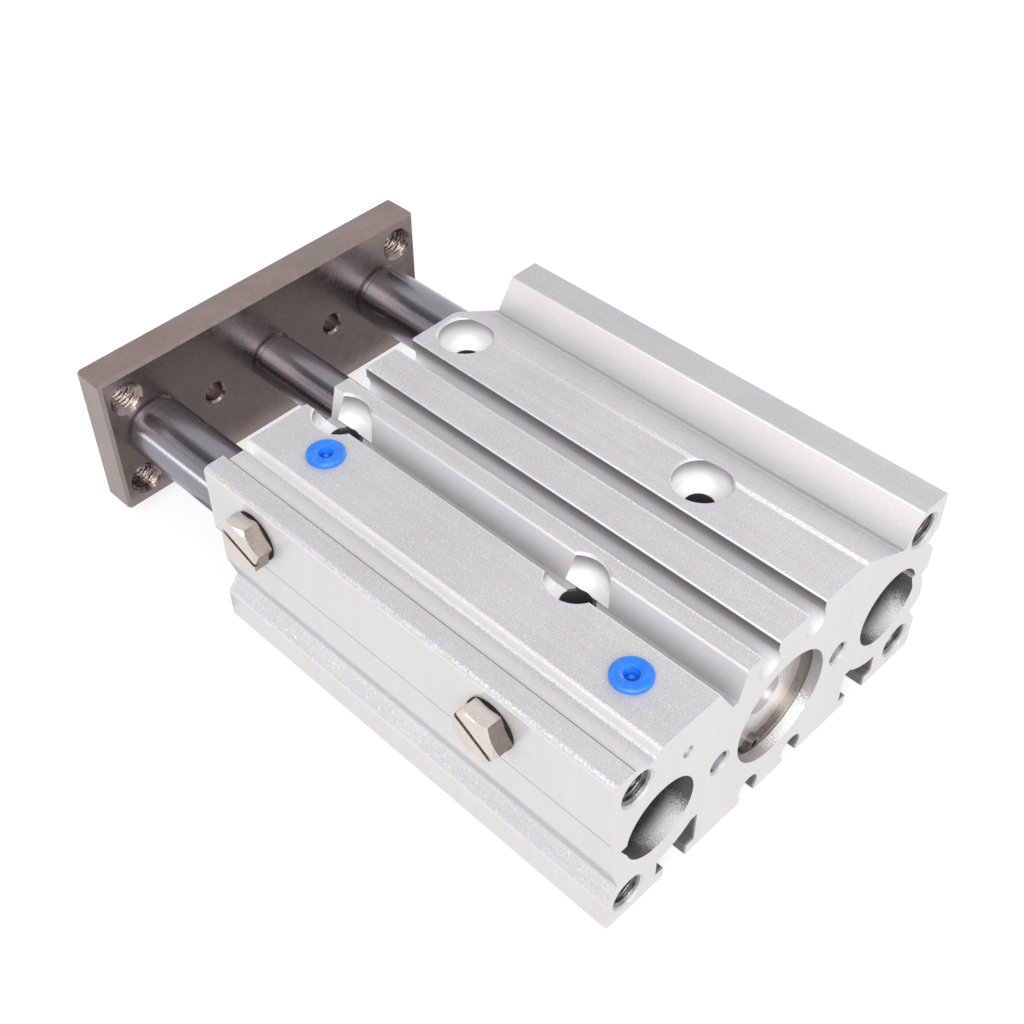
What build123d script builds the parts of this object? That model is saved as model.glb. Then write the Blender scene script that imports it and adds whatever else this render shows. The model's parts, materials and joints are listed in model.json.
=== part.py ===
from build123d import *
import os

# A guided pneumatic cylinder: a flat extruded body with a piston bore between two guide
# rod bores, and a steel plate that the piston rod and both guide rods push out together.
# Millimetres. +Y is the way the plate moves out, +Z is up, and the origin is the centre of
# the body's bottom face. "Head" is the closed end at -Y, "rod end" is the end at +Y.

# Stroke and main lengths
STROKE = 40.0
BODY_OVER_STROKE = 33.0
RETRACTED_GAP = 5.0
EXTENSION = 22.0
PLATE_THICKNESS = 6.0

# Extruded body
BODY_HEIGHT = 30.0
GUIDE_PITCH = 46.0
GUIDE_ROD_RADIUS = 5.0
BUSH_WALL = 1.0
GUIDE_WALL = 3.0
BORE_RADIUS = 8.0
RUNNING_GAP = 0.03
VENT_DEPTH = 1.05
VENT_ABOVE_AXIS = 0.6
VENT_BELOW_AXIS = 3.0
RIDGE_ABOVE_AXIS = 1.85
RIDGE_BELOW_AXIS = 2.0
RIDGE_ROOT = 0.4

# Outside form of the extrusion
SHARP = 0.0
EDGE_RADIUS = 0.3
SOFT_EDGE_RADIUS = 0.5
BOTTOM_CORNER_RADIUS = 1.0
TOP_CORNER_RADIUS = 0.8
FOOT_HEIGHT = 5.6
FOOT_CORNER_RADIUS = 1.5
SIDE_VEE_DEPTH = 1.9
SIDE_VEE_DROP = 6.6
SIDE_BULGE_DROP = 4.8
SIDE_BULGE_RADIUS = 1.2
SIDE_FLAT_DROP = 1.8
SIDE_FLAT_INSET = 0.3
SIDE_NICK_DEPTH = 1.3
SIDE_NICK_RISE = 0.5
SIDE_NICK_HEIGHT = 0.6
RIB_HEIGHT = 6.1
RIB_GROOVE_DEPTH = 2.1
RIB_GROOVE_HEIGHT = 3.9
RIB_GROOVE_RADIUS = 2.0
RIB_TOP_WIDTH = 5.2
RIB_FOOT_WIDTH = 8.3
VALLEY_DEPTH = 4.6
VALLEY_SLOPE = 9.0
VALLEY_EDGE_RADIUS = 4.0
VEE_DEPTH = 1.9
VEE_DROP = 7.0
VEE_SHOULDER_DROP = 3.0
PORT_WALL_STEP = 0.7
PORT_WALL_HEIGHT = 11.2
SHOULDER_WIDTH = 3.5
CHANNEL_WIDTH = 3.5
CHANNEL_DEPTH = 1.2
CHANNEL_SLOPE = 0.6
TOP_VEE_LEFT = 2.0
TOP_VEE_RIGHT = 3.1
TOP_VEE_DEPTH = 4.9
TOP_VEE_FLOOR = 1.0
TOP_VEE_FAR_SLOPE = 1.2

# Sensor grooves and T-slots that run the whole length
GROOVE_PITCH = 9.0
GROOVE_RADIUS = 2.0
GROOVE_MOUTH = 3.0
GROOVE_EDGE = 0.25
TOP_GROOVE_DEPTH = 5.1
BOTTOM_GROOVE_DEPTH = 4.2
TSLOT_PITCH = 38.0
TSLOT_MOUTH = 4.4
TSLOT_WIDTH = 7.4
TSLOT_LIP = 2.0
TSLOT_DEPTH = 7.6
TSLOT_WALL = 3.8

# Fixing holes
MOUNT_PITCH_X = 24.0
MOUNT_PITCH_Y = 44.0
MOUNT_FROM_ROD_END = 5.0
MOUNT_HOLE_RADIUS = 2.15
COUNTERBORE_RADIUS = 4.1
COUNTERBORE_DEPTH = 4.5
COUNTERBORE_EDGE = 0.3
M5_RADIUS = 2.5
M5_ENTRY = 0.3
BOTTOM_THREAD_DEPTH = 10.0
HEAD_THREAD_INSET = 4.1
HEAD_THREAD_DEPTH = 12.0
PIN_PITCH = 24.0
PIN_RADIUS = 1.5
PIN_DEPTH = 6.0
PIN_ENTRY = 0.4

# Air ports, all on the left half of the body
PORT_FROM_AXIS = 19.0
ROD_PORT_FROM_ROD_END = 10.0
HEAD_PORT_FROM_HEAD = 9.0
HEAD_SIDE_PORT_FROM_HEAD = 19.0
SIDE_PORT_BELOW_TOP = 5.8
PORT_DEPTH = 4.0
SIDE_PORT_DEPTH = 7.0
AIRWAY_RADIUS = 0.9
AIRWAY_ANGLE = 44.0
BALL_DEPTH = 1.0

# Ends of the piston bore
ENTRY_CLEARANCE = 0.5
ENTRY_DEPTH = 5.0
SNAP_RING_INSET = 1.65
SNAP_RING_THICKNESS = 1.0
SNAP_RING_WIDTH = 1.5
SNAP_GROOVE_DEPTH = 0.5
SNAP_GROOVE_GAP = 0.05
SNAP_RING_OPENING = 4.0
SNAP_RING_TURN = 232.0
SNAP_LUG_RADIUS = 1.1
SNAP_LUG_INSET = 0.45
SNAP_LUG_HOLE = 0.55
COVER_GAP = 0.05
COVER_SPIGOT = 2.6
COLLAR_SPIGOT = 3.8
COVER_RECESS_RADIUS = 3.0
COVER_RECESS_DEPTH = 0.6
ORING_SECTION = 1.3
ORING_GROOVE_DEPTH = 1.2
ORING_LAND = 0.5
BUMPER_THICKNESS = 2.2
BUMPER_RADIUS = 6.0
BUMPER_ROD_GAP = 0.3

# Piston, rod, seals and magnet
PISTON_LENGTH = 12.0
PISTON_GAP = 0.1
PISTON_SEAL_WIDTH = 2.2
PISTON_SEAL_DEPTH = 1.5
MAGNET_WIDTH = 3.2
MAGNET_DEPTH = 2.2
PISTON_GROOVE_LAND = 2.0
PISTON_ROD_RADIUS = 4.0
ROD_TAIL_RADIUS = 2.5
ROD_SEAL_RADIAL = 2.0
ROD_SEAL_WIDTH = 2.2
ROD_SEAL_LAND = 1.0
EDGE_BREAK = 0.4

# Guide rods and bushes
GUIDE_ROD_SETBACK = 2.0
BUSH_LENGTH = 31.0
BUSH_SETBACK = 1.5
BUSH_SEAT_RELIEF = 0.5
ROD_NECK_DEPTH = 0.3
ROD_NECK_LENGTH = 0.8

# Plate and its screws
PLATE_WIDTH = 62.0
PLATE_HEIGHT = 25.0
PLATE_BEVEL = 0.5
PLATE_THREAD_FROM_SIDE = 4.0
PLATE_THREAD_FROM_TOP = 4.5
PLATE_PIN_RADIUS = 1.6
PLATE_PIN_ENTRY = 0.35
SCREW_RADIUS = 2.5
SCREW_HOLE_GAP = 0.15
SCREW_HEAD_RADIUS = 4.0
SCREW_HEAD_HEIGHT = 3.2
SCREW_HEAD_RECESS = 0.3
SCREW_HEAD_GAP = 0.25
SCREW_GRIP = 9.0
SOCKET_ACROSS_FLATS = 3.0
SOCKET_DEPTH = 2.0

# Hexagon port plugs and dust caps
PLUG_ACROSS_FLATS = 7.0
PLUG_HEIGHT = 2.6
PLUG_FACE_INSET = 0.2
PLUG_BEVEL_SLOPE = 0.58
PLUG_THREAD_LENGTH = 4.5
PLUG_SLOT_WIDTH = 0.8
PLUG_SLOT_DEPTH = 0.9
ROD_PLUG_TURN = 21.0
HEAD_PLUG_TURN = 32.0
PLUG_GASKET_THICKNESS = 0.4
PLUG_GASKET_RADIUS = 3.75
CAP_RADIUS = 2.7
CAP_THICKNESS = 0.7
CAP_EDGE = 0.25
CAP_STEM_GAP = 0.2
CAP_STEM_LENGTH = 3.4
CAP_STEM_HOLLOW_RADIUS = 1.3
CAP_WEB = 0.6
CAP_DISH_RADIUS = 1.5
CAP_DISH_DEPTH = 0.2
CAP_FUNNEL_RADIUS = 1.05
CAP_FUNNEL_FLOOR_RADIUS = 0.8
CAP_FUNNEL_DEPTH = 1.3
CAP_NUB_RADIUS = 0.35
CAP_NUB_HEIGHT = 0.6

# Places worked out from the sizes above
BODY_LENGTH = BODY_OVER_STROKE + STROKE
HEAD_Y = -BODY_LENGTH / 2
ROD_Y = BODY_LENGTH / 2
AXIS_Z = BODY_HEIGHT / 2
GUIDE_X = GUIDE_PITCH / 2
GUIDE_BORE_RADIUS = GUIDE_ROD_RADIUS + BUSH_WALL
BODY_HALF_WIDTH = GUIDE_X + GUIDE_BORE_RADIUS + GUIDE_WALL
PLATE_Y = ROD_Y + RETRACTED_GAP + EXTENSION
PLATE_FRONT_Y = PLATE_Y + PLATE_THICKNESS
MOUNT_X = MOUNT_PITCH_X / 2
MOUNT_FRONT_Y = ROD_Y - MOUNT_FROM_ROD_END
MOUNT_REAR_Y = MOUNT_FRONT_Y - MOUNT_PITCH_Y
ROD_PORT_Y = ROD_Y - ROD_PORT_FROM_ROD_END
HEAD_PORT_Y = HEAD_Y + HEAD_PORT_FROM_HEAD
HEAD_SIDE_PORT_Y = HEAD_Y + HEAD_SIDE_PORT_FROM_HEAD
SIDE_PORT_Z = BODY_HEIGHT - SIDE_PORT_BELOW_TOP
HEAD_THREAD_X = BODY_HALF_WIDTH - HEAD_THREAD_INSET
PLATE_THREAD_X = PLATE_WIDTH / 2 - PLATE_THREAD_FROM_SIDE
PLATE_THREAD_RISE = PLATE_HEIGHT / 2 - PLATE_THREAD_FROM_TOP
ENTRY_RADIUS = BORE_RADIUS + ENTRY_CLEARANCE
SNAP_RING_RADIUS = ENTRY_RADIUS + SNAP_GROOVE_DEPTH
COVER_INSET = SNAP_RING_INSET + SNAP_RING_THICKNESS
COVER_END_Y = HEAD_Y + ENTRY_DEPTH + COVER_SPIGOT
COLLAR_END_Y = ROD_Y - ENTRY_DEPTH - COLLAR_SPIGOT
PISTON_REAR_Y = COVER_END_Y + BUMPER_THICKNESS + EXTENSION
PISTON_FRONT_Y = PISTON_REAR_Y + PISTON_LENGTH
GUIDE_ROD_REAR_Y = HEAD_Y + GUIDE_ROD_SETBACK + EXTENSION
SCREW_SEAT_Y = PLATE_FRONT_Y - SCREW_HEAD_RECESS - SCREW_HEAD_HEIGHT
SCREW_END_Y = SCREW_SEAT_Y - SCREW_GRIP


def turned(points, x=0.0, z=AXIS_Z):
    """Ring or shaft turned about a line along Y, from (radius, y) points."""
    profile = make_face(Polyline(*points, close=True))
    return Pos(x, 0, z) * revolve(profile, Axis.Y)


def along_y(radius, y_start, y_end, x=0.0, z=AXIS_Z):
    middle = Pos(x, (y_start + y_end) / 2, z)
    return middle * Rot(90, 0, 0) * Cylinder(radius, y_end - y_start)


def along_z(radius, z_start, z_end, x, y):
    return Pos(x, y, (z_start + z_end) / 2) * Cylinder(radius, z_end - z_start)


def along_x(radius, x_start, x_end, y, z):
    middle = Pos((x_start + x_end) / 2, y, z)
    return middle * Rot(0, 90, 0) * Cylinder(radius, x_end - x_start)


def entry_cone(radius, depth, place):
    """Countersink of 45 degrees, its wide end at the given place and opening along +Z there."""
    return place * Pos(0, 0, -depth / 2) * Cone(radius, radius + depth, depth)


def prism(section, y_start, y_end):
    """Bar along Y of a section drawn with X across and Z up."""
    return extrude(Plane.XZ.offset(-y_end) * section, y_end - y_start)


def body_outline():
    """Cross-section of the extrusion, as corners of (x, z, radius) taken anticlockwise."""
    left = -BODY_HALF_WIDTH
    right = BODY_HALF_WIDTH
    top = BODY_HEIGHT
    port_wall_z = top - PORT_WALL_HEIGHT
    wall_x = left + PORT_WALL_STEP
    rib_groove_z = top - RIB_HEIGHT - RIB_GROOVE_HEIGHT
    valley_x = right - RIB_FOOT_WIDTH
    nick_z = AXIS_Z + SIDE_NICK_RISE
    channel_x = left + SHOULDER_WIDTH
    channel_end_x = channel_x + CHANNEL_WIDTH
    vee_right_x = -MOUNT_X + TOP_VEE_RIGHT
    vee_floor_end_x = vee_right_x - TOP_VEE_FAR_SLOPE
    corners = [
        (left, 0, BOTTOM_CORNER_RADIUS),
        (right, 0, BOTTOM_CORNER_RADIUS),
        (right, FOOT_HEIGHT, SHARP),
        (right - SIDE_VEE_DEPTH, AXIS_Z - SIDE_VEE_DROP, SHARP),
        (right, AXIS_Z - SIDE_BULGE_DROP, SIDE_BULGE_RADIUS),
        (right - SIDE_FLAT_INSET, AXIS_Z - SIDE_FLAT_DROP, SIDE_BULGE_RADIUS),
        (right - SIDE_NICK_DEPTH, nick_z, SHARP),
        (right, nick_z + SIDE_NICK_HEIGHT, SHARP),
        (right, rib_groove_z, RIB_GROOVE_RADIUS),
        (right - RIB_GROOVE_DEPTH, rib_groove_z + RIB_GROOVE_HEIGHT / 2, SHARP),
        (right, top - RIB_HEIGHT, SHARP),
        (right, top, SOFT_EDGE_RADIUS),
        (right - RIB_TOP_WIDTH, top, EDGE_RADIUS),
        (valley_x, top - VALLEY_DEPTH, SHARP),
        (valley_x - VALLEY_SLOPE, top, VALLEY_EDGE_RADIUS),
        (vee_right_x, top, EDGE_RADIUS),
        (vee_floor_end_x, top - TOP_VEE_DEPTH, SHARP),
        (vee_floor_end_x - TOP_VEE_FLOOR, top - TOP_VEE_DEPTH, SHARP),
        (-MOUNT_X - TOP_VEE_LEFT, top, EDGE_RADIUS),
        (channel_end_x + CHANNEL_SLOPE, top, EDGE_RADIUS),
        (channel_end_x, top - CHANNEL_DEPTH, SHARP),
        (channel_x, top - CHANNEL_DEPTH, SHARP),
        (channel_x, top, SHARP),
        (left, top, TOP_CORNER_RADIUS),
        (left, port_wall_z, SHARP),
        (wall_x, port_wall_z, SHARP),
        (wall_x, AXIS_Z - VEE_SHOULDER_DROP, SOFT_EDGE_RADIUS),
        (left + VEE_DEPTH, AXIS_Z - VEE_DROP, SOFT_EDGE_RADIUS),
        (left, FOOT_HEIGHT, FOOT_CORNER_RADIUS),
    ]
    points = [(x, z) for x, z, radius in corners]
    radii = [radius for x, z, radius in corners]
    return make_face(FilletPolyline(*points, radius=radii, close=True))


def sensor_groove(x, opening_z, inward, depth):
    """Round groove with a narrower mouth; inward is +1 where the groove rises from its mouth."""
    centre_z = opening_z + inward * (depth - GROOVE_RADIUS)
    edge_z = opening_z + inward * GROOVE_EDGE
    half_mouth = GROOVE_MOUTH / 2
    mouth = Polyline(
        (x - half_mouth, centre_z),
        (x - half_mouth, edge_z),
        (x - half_mouth - GROOVE_EDGE, opening_z),
        (x + half_mouth + GROOVE_EDGE, opening_z),
        (x + half_mouth, edge_z),
        (x + half_mouth, centre_z),
        close=True,
    )
    channel = along_y(GROOVE_RADIUS, HEAD_Y, ROD_Y, x, centre_z)
    return channel + prism(make_face(mouth), HEAD_Y, ROD_Y)


def tslot(side):
    """Slot for a square nut; its roof follows the round wall of the guide bore."""
    x = side * TSLOT_PITCH / 2
    cavity_height = TSLOT_DEPTH - TSLOT_LIP
    cavity = Pos(x, 0, TSLOT_LIP + cavity_height / 2) * Box(TSLOT_WIDTH, BODY_LENGTH, cavity_height)
    wall = along_y(GUIDE_BORE_RADIUS + TSLOT_WALL, HEAD_Y, ROD_Y, side * GUIDE_X)
    mouth = Pos(x, 0, TSLOT_LIP / 2) * Box(TSLOT_MOUTH, BODY_LENGTH, TSLOT_LIP)
    return (cavity - wall) + mouth


def left_guide_bore():
    """Bore for a guide rod and its bush, with a three-sided vent along its outer wall."""
    bore = along_y(GUIDE_BORE_RADIUS, HEAD_Y, ROD_Y, -GUIDE_X)
    vent_z = AXIS_Z + VENT_ABOVE_AXIS
    vent = Polyline(
        (-GUIDE_X, vent_z),
        (-GUIDE_X - GUIDE_BORE_RADIUS - VENT_DEPTH, vent_z),
        (-GUIDE_X - GUIDE_ROD_RADIUS, AXIS_Z - VENT_BELOW_AXIS),
        close=True,
    )
    return bore + prism(make_face(vent), HEAD_Y, ROD_Y)


def right_guide_bore():
    """Bore with a low ridge along its outer wall, machined round where the bush sits."""
    bore = along_y(GUIDE_BORE_RADIUS, HEAD_Y, ROD_Y, GUIDE_X)
    crest_z = AXIS_Z + RIDGE_ABOVE_AXIS
    root_x = GUIDE_X + GUIDE_BORE_RADIUS + RIDGE_ROOT
    ridge = Polyline(
        (GUIDE_X + GUIDE_ROD_RADIUS, crest_z),
        (root_x, crest_z),
        (root_x, AXIS_Z - RIDGE_BELOW_AXIS),
        close=True,
    )
    seat_y = ROD_Y - BUSH_SETBACK - BUSH_LENGTH - BUSH_SEAT_RELIEF
    seat = along_y(GUIDE_BORE_RADIUS, seat_y, ROD_Y, GUIDE_X)
    return bore - prism(make_face(ridge), HEAD_Y, seat_y) + seat


def piston_bore():
    """Through bore with a wider entry and a snap ring groove at each end."""
    cut = along_y(BORE_RADIUS, HEAD_Y, ROD_Y)
    cut += along_y(ENTRY_RADIUS, HEAD_Y, HEAD_Y + ENTRY_DEPTH)
    cut += along_y(ENTRY_RADIUS, ROD_Y - ENTRY_DEPTH, ROD_Y)
    groove_start = SNAP_RING_INSET - SNAP_GROOVE_GAP
    groove_end = COVER_INSET + SNAP_GROOVE_GAP
    groove_radius = SNAP_RING_RADIUS + SNAP_GROOVE_GAP
    cut += along_y(groove_radius, HEAD_Y + groove_start, HEAD_Y + groove_end)
    cut += along_y(groove_radius, ROD_Y - groove_end, ROD_Y - groove_start)
    return cut


def mounting_holes():
    """Four holes right through: counterbored from above, threaded M5 from below."""
    cuts = []
    floor_z = BODY_HEIGHT - COUNTERBORE_DEPTH
    for x in (-MOUNT_X, MOUNT_X):
        for y in (MOUNT_REAR_Y, MOUNT_FRONT_Y):
            cuts.append(along_z(MOUNT_HOLE_RADIUS, 0, BODY_HEIGHT, x, y))
            cuts.append(along_z(COUNTERBORE_RADIUS, floor_z, BODY_HEIGHT, x, y))
            cuts.append(entry_cone(COUNTERBORE_RADIUS, COUNTERBORE_EDGE, Pos(x, y, BODY_HEIGHT)))
            cuts.append(along_z(M5_RADIUS, 0, BOTTOM_THREAD_DEPTH, x, y))
            bottom = Pos(x, y, 0) * Rot(180, 0, 0)
            cuts.append(entry_cone(M5_RADIUS, M5_ENTRY, bottom))
    return cuts


def head_end_holes():
    """Four M5 threads near the corners, two dowel holes and the drilled airway."""
    cuts = []
    face = Rot(90, 0, 0)
    for x in (-HEAD_THREAD_X, HEAD_THREAD_X):
        for z in (HEAD_THREAD_INSET, BODY_HEIGHT - HEAD_THREAD_INSET):
            cuts.append(along_y(M5_RADIUS, HEAD_Y, HEAD_Y + HEAD_THREAD_DEPTH, x, z))
            cuts.append(entry_cone(M5_RADIUS, M5_ENTRY, Pos(x, HEAD_Y, z) * face))
    for x in (-PIN_PITCH / 2, PIN_PITCH / 2):
        cuts.append(along_y(PIN_RADIUS, HEAD_Y, HEAD_Y + PIN_DEPTH, x))
        cuts.append(entry_cone(PIN_RADIUS, PIN_ENTRY, Pos(x, HEAD_Y, AXIS_Z) * face))
    airway = along_y(AIRWAY_RADIUS, HEAD_Y, HEAD_SIDE_PORT_Y, -PORT_FROM_AXIS, SIDE_PORT_Z)
    cuts.append(airway)
    return cuts


def port_cuts():
    """Top and side ports for each end, joined inside and led down into the piston bore."""
    cuts = []
    left = -BODY_HALF_WIDTH
    for y in (ROD_PORT_Y, HEAD_PORT_Y):
        start = Vector(-PORT_FROM_AXIS, y, SIDE_PORT_Z)
        cuts.append(along_z(M5_RADIUS, BODY_HEIGHT - PORT_DEPTH, BODY_HEIGHT, start.X, y))
        cuts.append(along_z(AIRWAY_RADIUS, SIDE_PORT_Z - AIRWAY_RADIUS, BODY_HEIGHT, start.X, y))
        bore_wall = Vector(-BORE_RADIUS, 0, 0).rotate(Axis.Y, AIRWAY_ANGLE)
        path = Line(start, Vector(0, y, AXIS_Z) + bore_wall)
        mouth = Plane(origin=start, z_dir=path % 0)
        cuts.append(extrude(mouth * Circle(AIRWAY_RADIUS), path.length))
    for y in (ROD_PORT_Y, HEAD_SIDE_PORT_Y):
        cuts.append(along_x(M5_RADIUS, left, left + SIDE_PORT_DEPTH, y, SIDE_PORT_Z))
        cuts.append(along_x(AIRWAY_RADIUS, left, -PORT_FROM_AXIS, y, SIDE_PORT_Z))
    return cuts


def body():
    """The extrusion, as two solids that meet in the middle of the left pair of sensor grooves."""
    block = prism(body_outline(), HEAD_Y, ROD_Y)
    half_pitch = GROOVE_PITCH / 2
    cuts = [piston_bore(), left_guide_bore(), right_guide_bore()]
    for side in (-1, 1):
        cuts.append(tslot(side))
        cuts.append(sensor_groove(side * half_pitch, BODY_HEIGHT, -1, TOP_GROOVE_DEPTH))
        cuts.append(sensor_groove(side * half_pitch, 0, 1, BOTTOM_GROOVE_DEPTH))
    cuts += mounting_holes()
    cuts += head_end_holes()
    cuts += port_cuts()
    for cut in cuts:
        block -= cut
    seam = Plane.YZ.offset(-half_pitch)
    return Compound(split(block, bisect_by=seam, keep=Keep.BOTH).solids())


def snap_ring(y_start, turn):
    """Internal snap ring: an open spring ring with a drilled lug at each side of its gap."""
    y_end = y_start + SNAP_RING_THICKNESS
    inner = SNAP_RING_RADIUS - SNAP_RING_WIDTH
    ring = along_y(SNAP_RING_RADIUS, y_start, y_end) - along_y(inner, y_start, y_end)
    gap = Box(2 * SNAP_RING_RADIUS, SNAP_RING_THICKNESS, SNAP_RING_OPENING)
    middle_y = (y_start + y_end) / 2
    centre = Pos(0, middle_y, AXIS_Z) * Rot(0, -turn, 0)
    ring -= centre * Pos(SNAP_RING_RADIUS, 0, 0) * gap
    lug_x = inner - SNAP_LUG_INSET
    lug_z = SNAP_RING_OPENING / 2 + SNAP_LUG_RADIUS
    for side in (-1, 1):
        seat = centre * Pos(lug_x, 0, side * lug_z) * Rot(90, 0, 0)
        ring += seat * Cylinder(SNAP_LUG_RADIUS, SNAP_RING_THICKNESS)
        ring -= seat * Cylinder(SNAP_LUG_HOLE, SNAP_RING_THICKNESS)
    return ring


def head_cover():
    """Turned cover that closes the head end, with a groove for its sealing ring."""
    flange = ENTRY_RADIUS - COVER_GAP
    spigot = BORE_RADIUS - COVER_GAP
    face_y = HEAD_Y + COVER_INSET
    step_y = HEAD_Y + ENTRY_DEPTH
    groove_y = step_y + ORING_LAND
    groove_radius = BORE_RADIUS - ORING_GROOVE_DEPTH
    return turned([
        (0, face_y + COVER_RECESS_DEPTH),
        (COVER_RECESS_RADIUS, face_y + COVER_RECESS_DEPTH),
        (COVER_RECESS_RADIUS, face_y),
        (flange, face_y),
        (flange, step_y),
        (spigot, step_y),
        (spigot, groove_y),
        (groove_radius, groove_y),
        (groove_radius, groove_y + ORING_SECTION),
        (spigot, groove_y + ORING_SECTION),
        (spigot, COVER_END_Y),
        (0, COVER_END_Y),
    ])


def rod_collar():
    """Turned collar that guides the piston rod and holds the rod seal."""
    flange = ENTRY_RADIUS - COVER_GAP
    spigot = BORE_RADIUS - COVER_GAP
    rod_hole = PISTON_ROD_RADIUS + RUNNING_GAP
    seal_radius = PISTON_ROD_RADIUS + ROD_SEAL_RADIAL
    face_y = ROD_Y - COVER_INSET
    step_y = ROD_Y - ENTRY_DEPTH
    groove_y = step_y - ORING_LAND - ORING_SECTION
    groove_radius = BORE_RADIUS - ORING_GROOVE_DEPTH
    seal_y = face_y - ROD_SEAL_LAND
    return turned([
        (rod_hole, COLLAR_END_Y),
        (spigot, COLLAR_END_Y),
        (spigot, groove_y),
        (groove_radius, groove_y),
        (groove_radius, groove_y + ORING_SECTION),
        (spigot, groove_y + ORING_SECTION),
        (spigot, step_y),
        (flange, step_y),
        (flange, face_y),
        (seal_radius, face_y),
        (seal_radius, seal_y - ROD_SEAL_WIDTH),
        (rod_hole, seal_y - ROD_SEAL_WIDTH),
    ])


def rod_seal():
    """Lip seal in the collar's mouth, with a V-shaped lip that faces the pressure."""
    inner = PISTON_ROD_RADIUS + RUNNING_GAP
    outer = PISTON_ROD_RADIUS + ROD_SEAL_RADIAL
    middle = (inner + outer) / 2
    rear_y = ROD_Y - COVER_INSET - ROD_SEAL_LAND - ROD_SEAL_WIDTH
    front_y = ROD_Y - COVER_INSET
    return turned([
        (inner, rear_y),
        (middle, rear_y + ROD_SEAL_LAND / 2),
        (outer, rear_y),
        (outer, front_y),
        (inner + EDGE_BREAK, front_y),
        (inner, front_y - EDGE_BREAK),
    ])


def cover_gasket(groove_y):
    """Rubber sealing ring of round section, seated on the groove's floor."""
    section = ORING_SECTION / 2 - COVER_GAP
    centre_radius = BORE_RADIUS - ORING_GROOVE_DEPTH + ORING_SECTION / 2 - COVER_GAP
    ring = Torus(centre_radius, min(section, ORING_GROOVE_DEPTH / 2))
    return Pos(0, groove_y + ORING_SECTION / 2, AXIS_Z) * Rot(90, 0, 0) * ring


def bumper(y_start, hole_radius):
    """Soft stop that the piston lands on at the end of its travel."""
    y_end = y_start + BUMPER_THICKNESS
    inner = hole_radius
    return turned([
        (inner, y_start),
        (BUMPER_RADIUS - EDGE_BREAK, y_start),
        (BUMPER_RADIUS, y_start + EDGE_BREAK),
        (BUMPER_RADIUS, y_end - EDGE_BREAK),
        (BUMPER_RADIUS - EDGE_BREAK, y_end),
        (inner, y_end),
    ])


def guide_bush(side):
    """Plain bush pressed into the rod end of a guide bore."""
    inner = GUIDE_ROD_RADIUS + RUNNING_GAP
    front_y = ROD_Y - BUSH_SETBACK
    rear_y = front_y - BUSH_LENGTH
    lead = BUSH_WALL / 3
    return turned([
        (inner, rear_y),
        (GUIDE_BORE_RADIUS - lead, rear_y),
        (GUIDE_BORE_RADIUS, rear_y + lead),
        (GUIDE_BORE_RADIUS, front_y - lead),
        (GUIDE_BORE_RADIUS - lead, front_y),
        (inner + lead, front_y),
        (inner, front_y - lead),
    ], side * GUIDE_X)


def passage_ball():
    """Steel ball pressed into the mouth of the drilled airway."""
    return Pos(-PORT_FROM_AXIS, HEAD_Y + BALL_DEPTH, SIDE_PORT_Z) * Sphere(AIRWAY_RADIUS)


def piston():
    """Turned piston with a seal groove, a magnet groove and a bore for the rod's tail."""
    outer = BORE_RADIUS - PISTON_GAP
    seal_y = PISTON_FRONT_Y - PISTON_GROOVE_LAND
    seal_floor = outer - PISTON_SEAL_DEPTH
    magnet_y = PISTON_REAR_Y + PISTON_GROOVE_LAND
    magnet_floor = outer - MAGNET_DEPTH
    return turned([
        (ROD_TAIL_RADIUS, PISTON_REAR_Y),
        (outer - EDGE_BREAK, PISTON_REAR_Y),
        (outer, PISTON_REAR_Y + EDGE_BREAK),
        (outer, magnet_y),
        (magnet_floor, magnet_y),
        (magnet_floor, magnet_y + MAGNET_WIDTH),
        (outer, magnet_y + MAGNET_WIDTH),
        (outer, seal_y - PISTON_SEAL_WIDTH),
        (seal_floor, seal_y - PISTON_SEAL_WIDTH),
        (seal_floor, seal_y),
        (outer, seal_y),
        (outer, PISTON_FRONT_Y - EDGE_BREAK),
        (outer - EDGE_BREAK, PISTON_FRONT_Y),
        (ROD_TAIL_RADIUS, PISTON_FRONT_Y),
    ])


def piston_seal():
    """Two-lipped rubber ring in the piston's front groove."""
    inner = BORE_RADIUS - PISTON_GAP - PISTON_SEAL_DEPTH
    outer = BORE_RADIUS - RUNNING_GAP
    valley = (inner + outer) / 2
    front_y = PISTON_FRONT_Y - PISTON_GROOVE_LAND
    rear_y = front_y - PISTON_SEAL_WIDTH
    lip = PISTON_SEAL_WIDTH / 4
    return turned([
        (inner, rear_y),
        (outer - EDGE_BREAK / 2, rear_y),
        (outer, rear_y + lip / 2),
        (outer, rear_y + lip),
        (valley, (rear_y + front_y) / 2),
        (outer, front_y - lip),
        (outer, front_y - lip / 2),
        (outer - EDGE_BREAK / 2, front_y),
        (inner, front_y),
    ])


def piston_magnet():
    outer = BORE_RADIUS - PISTON_GAP
    rear_y = PISTON_REAR_Y + PISTON_GROOVE_LAND
    ring = along_y(outer - COVER_GAP, rear_y, rear_y + MAGNET_WIDTH)
    return ring - along_y(outer - MAGNET_DEPTH, rear_y, rear_y + MAGNET_WIDTH)


def screw_bore(x):
    """Threaded hole for a plate screw in the front end of a rod."""
    return along_y(SCREW_RADIUS, SCREW_END_Y, PLATE_Y, x)


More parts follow.
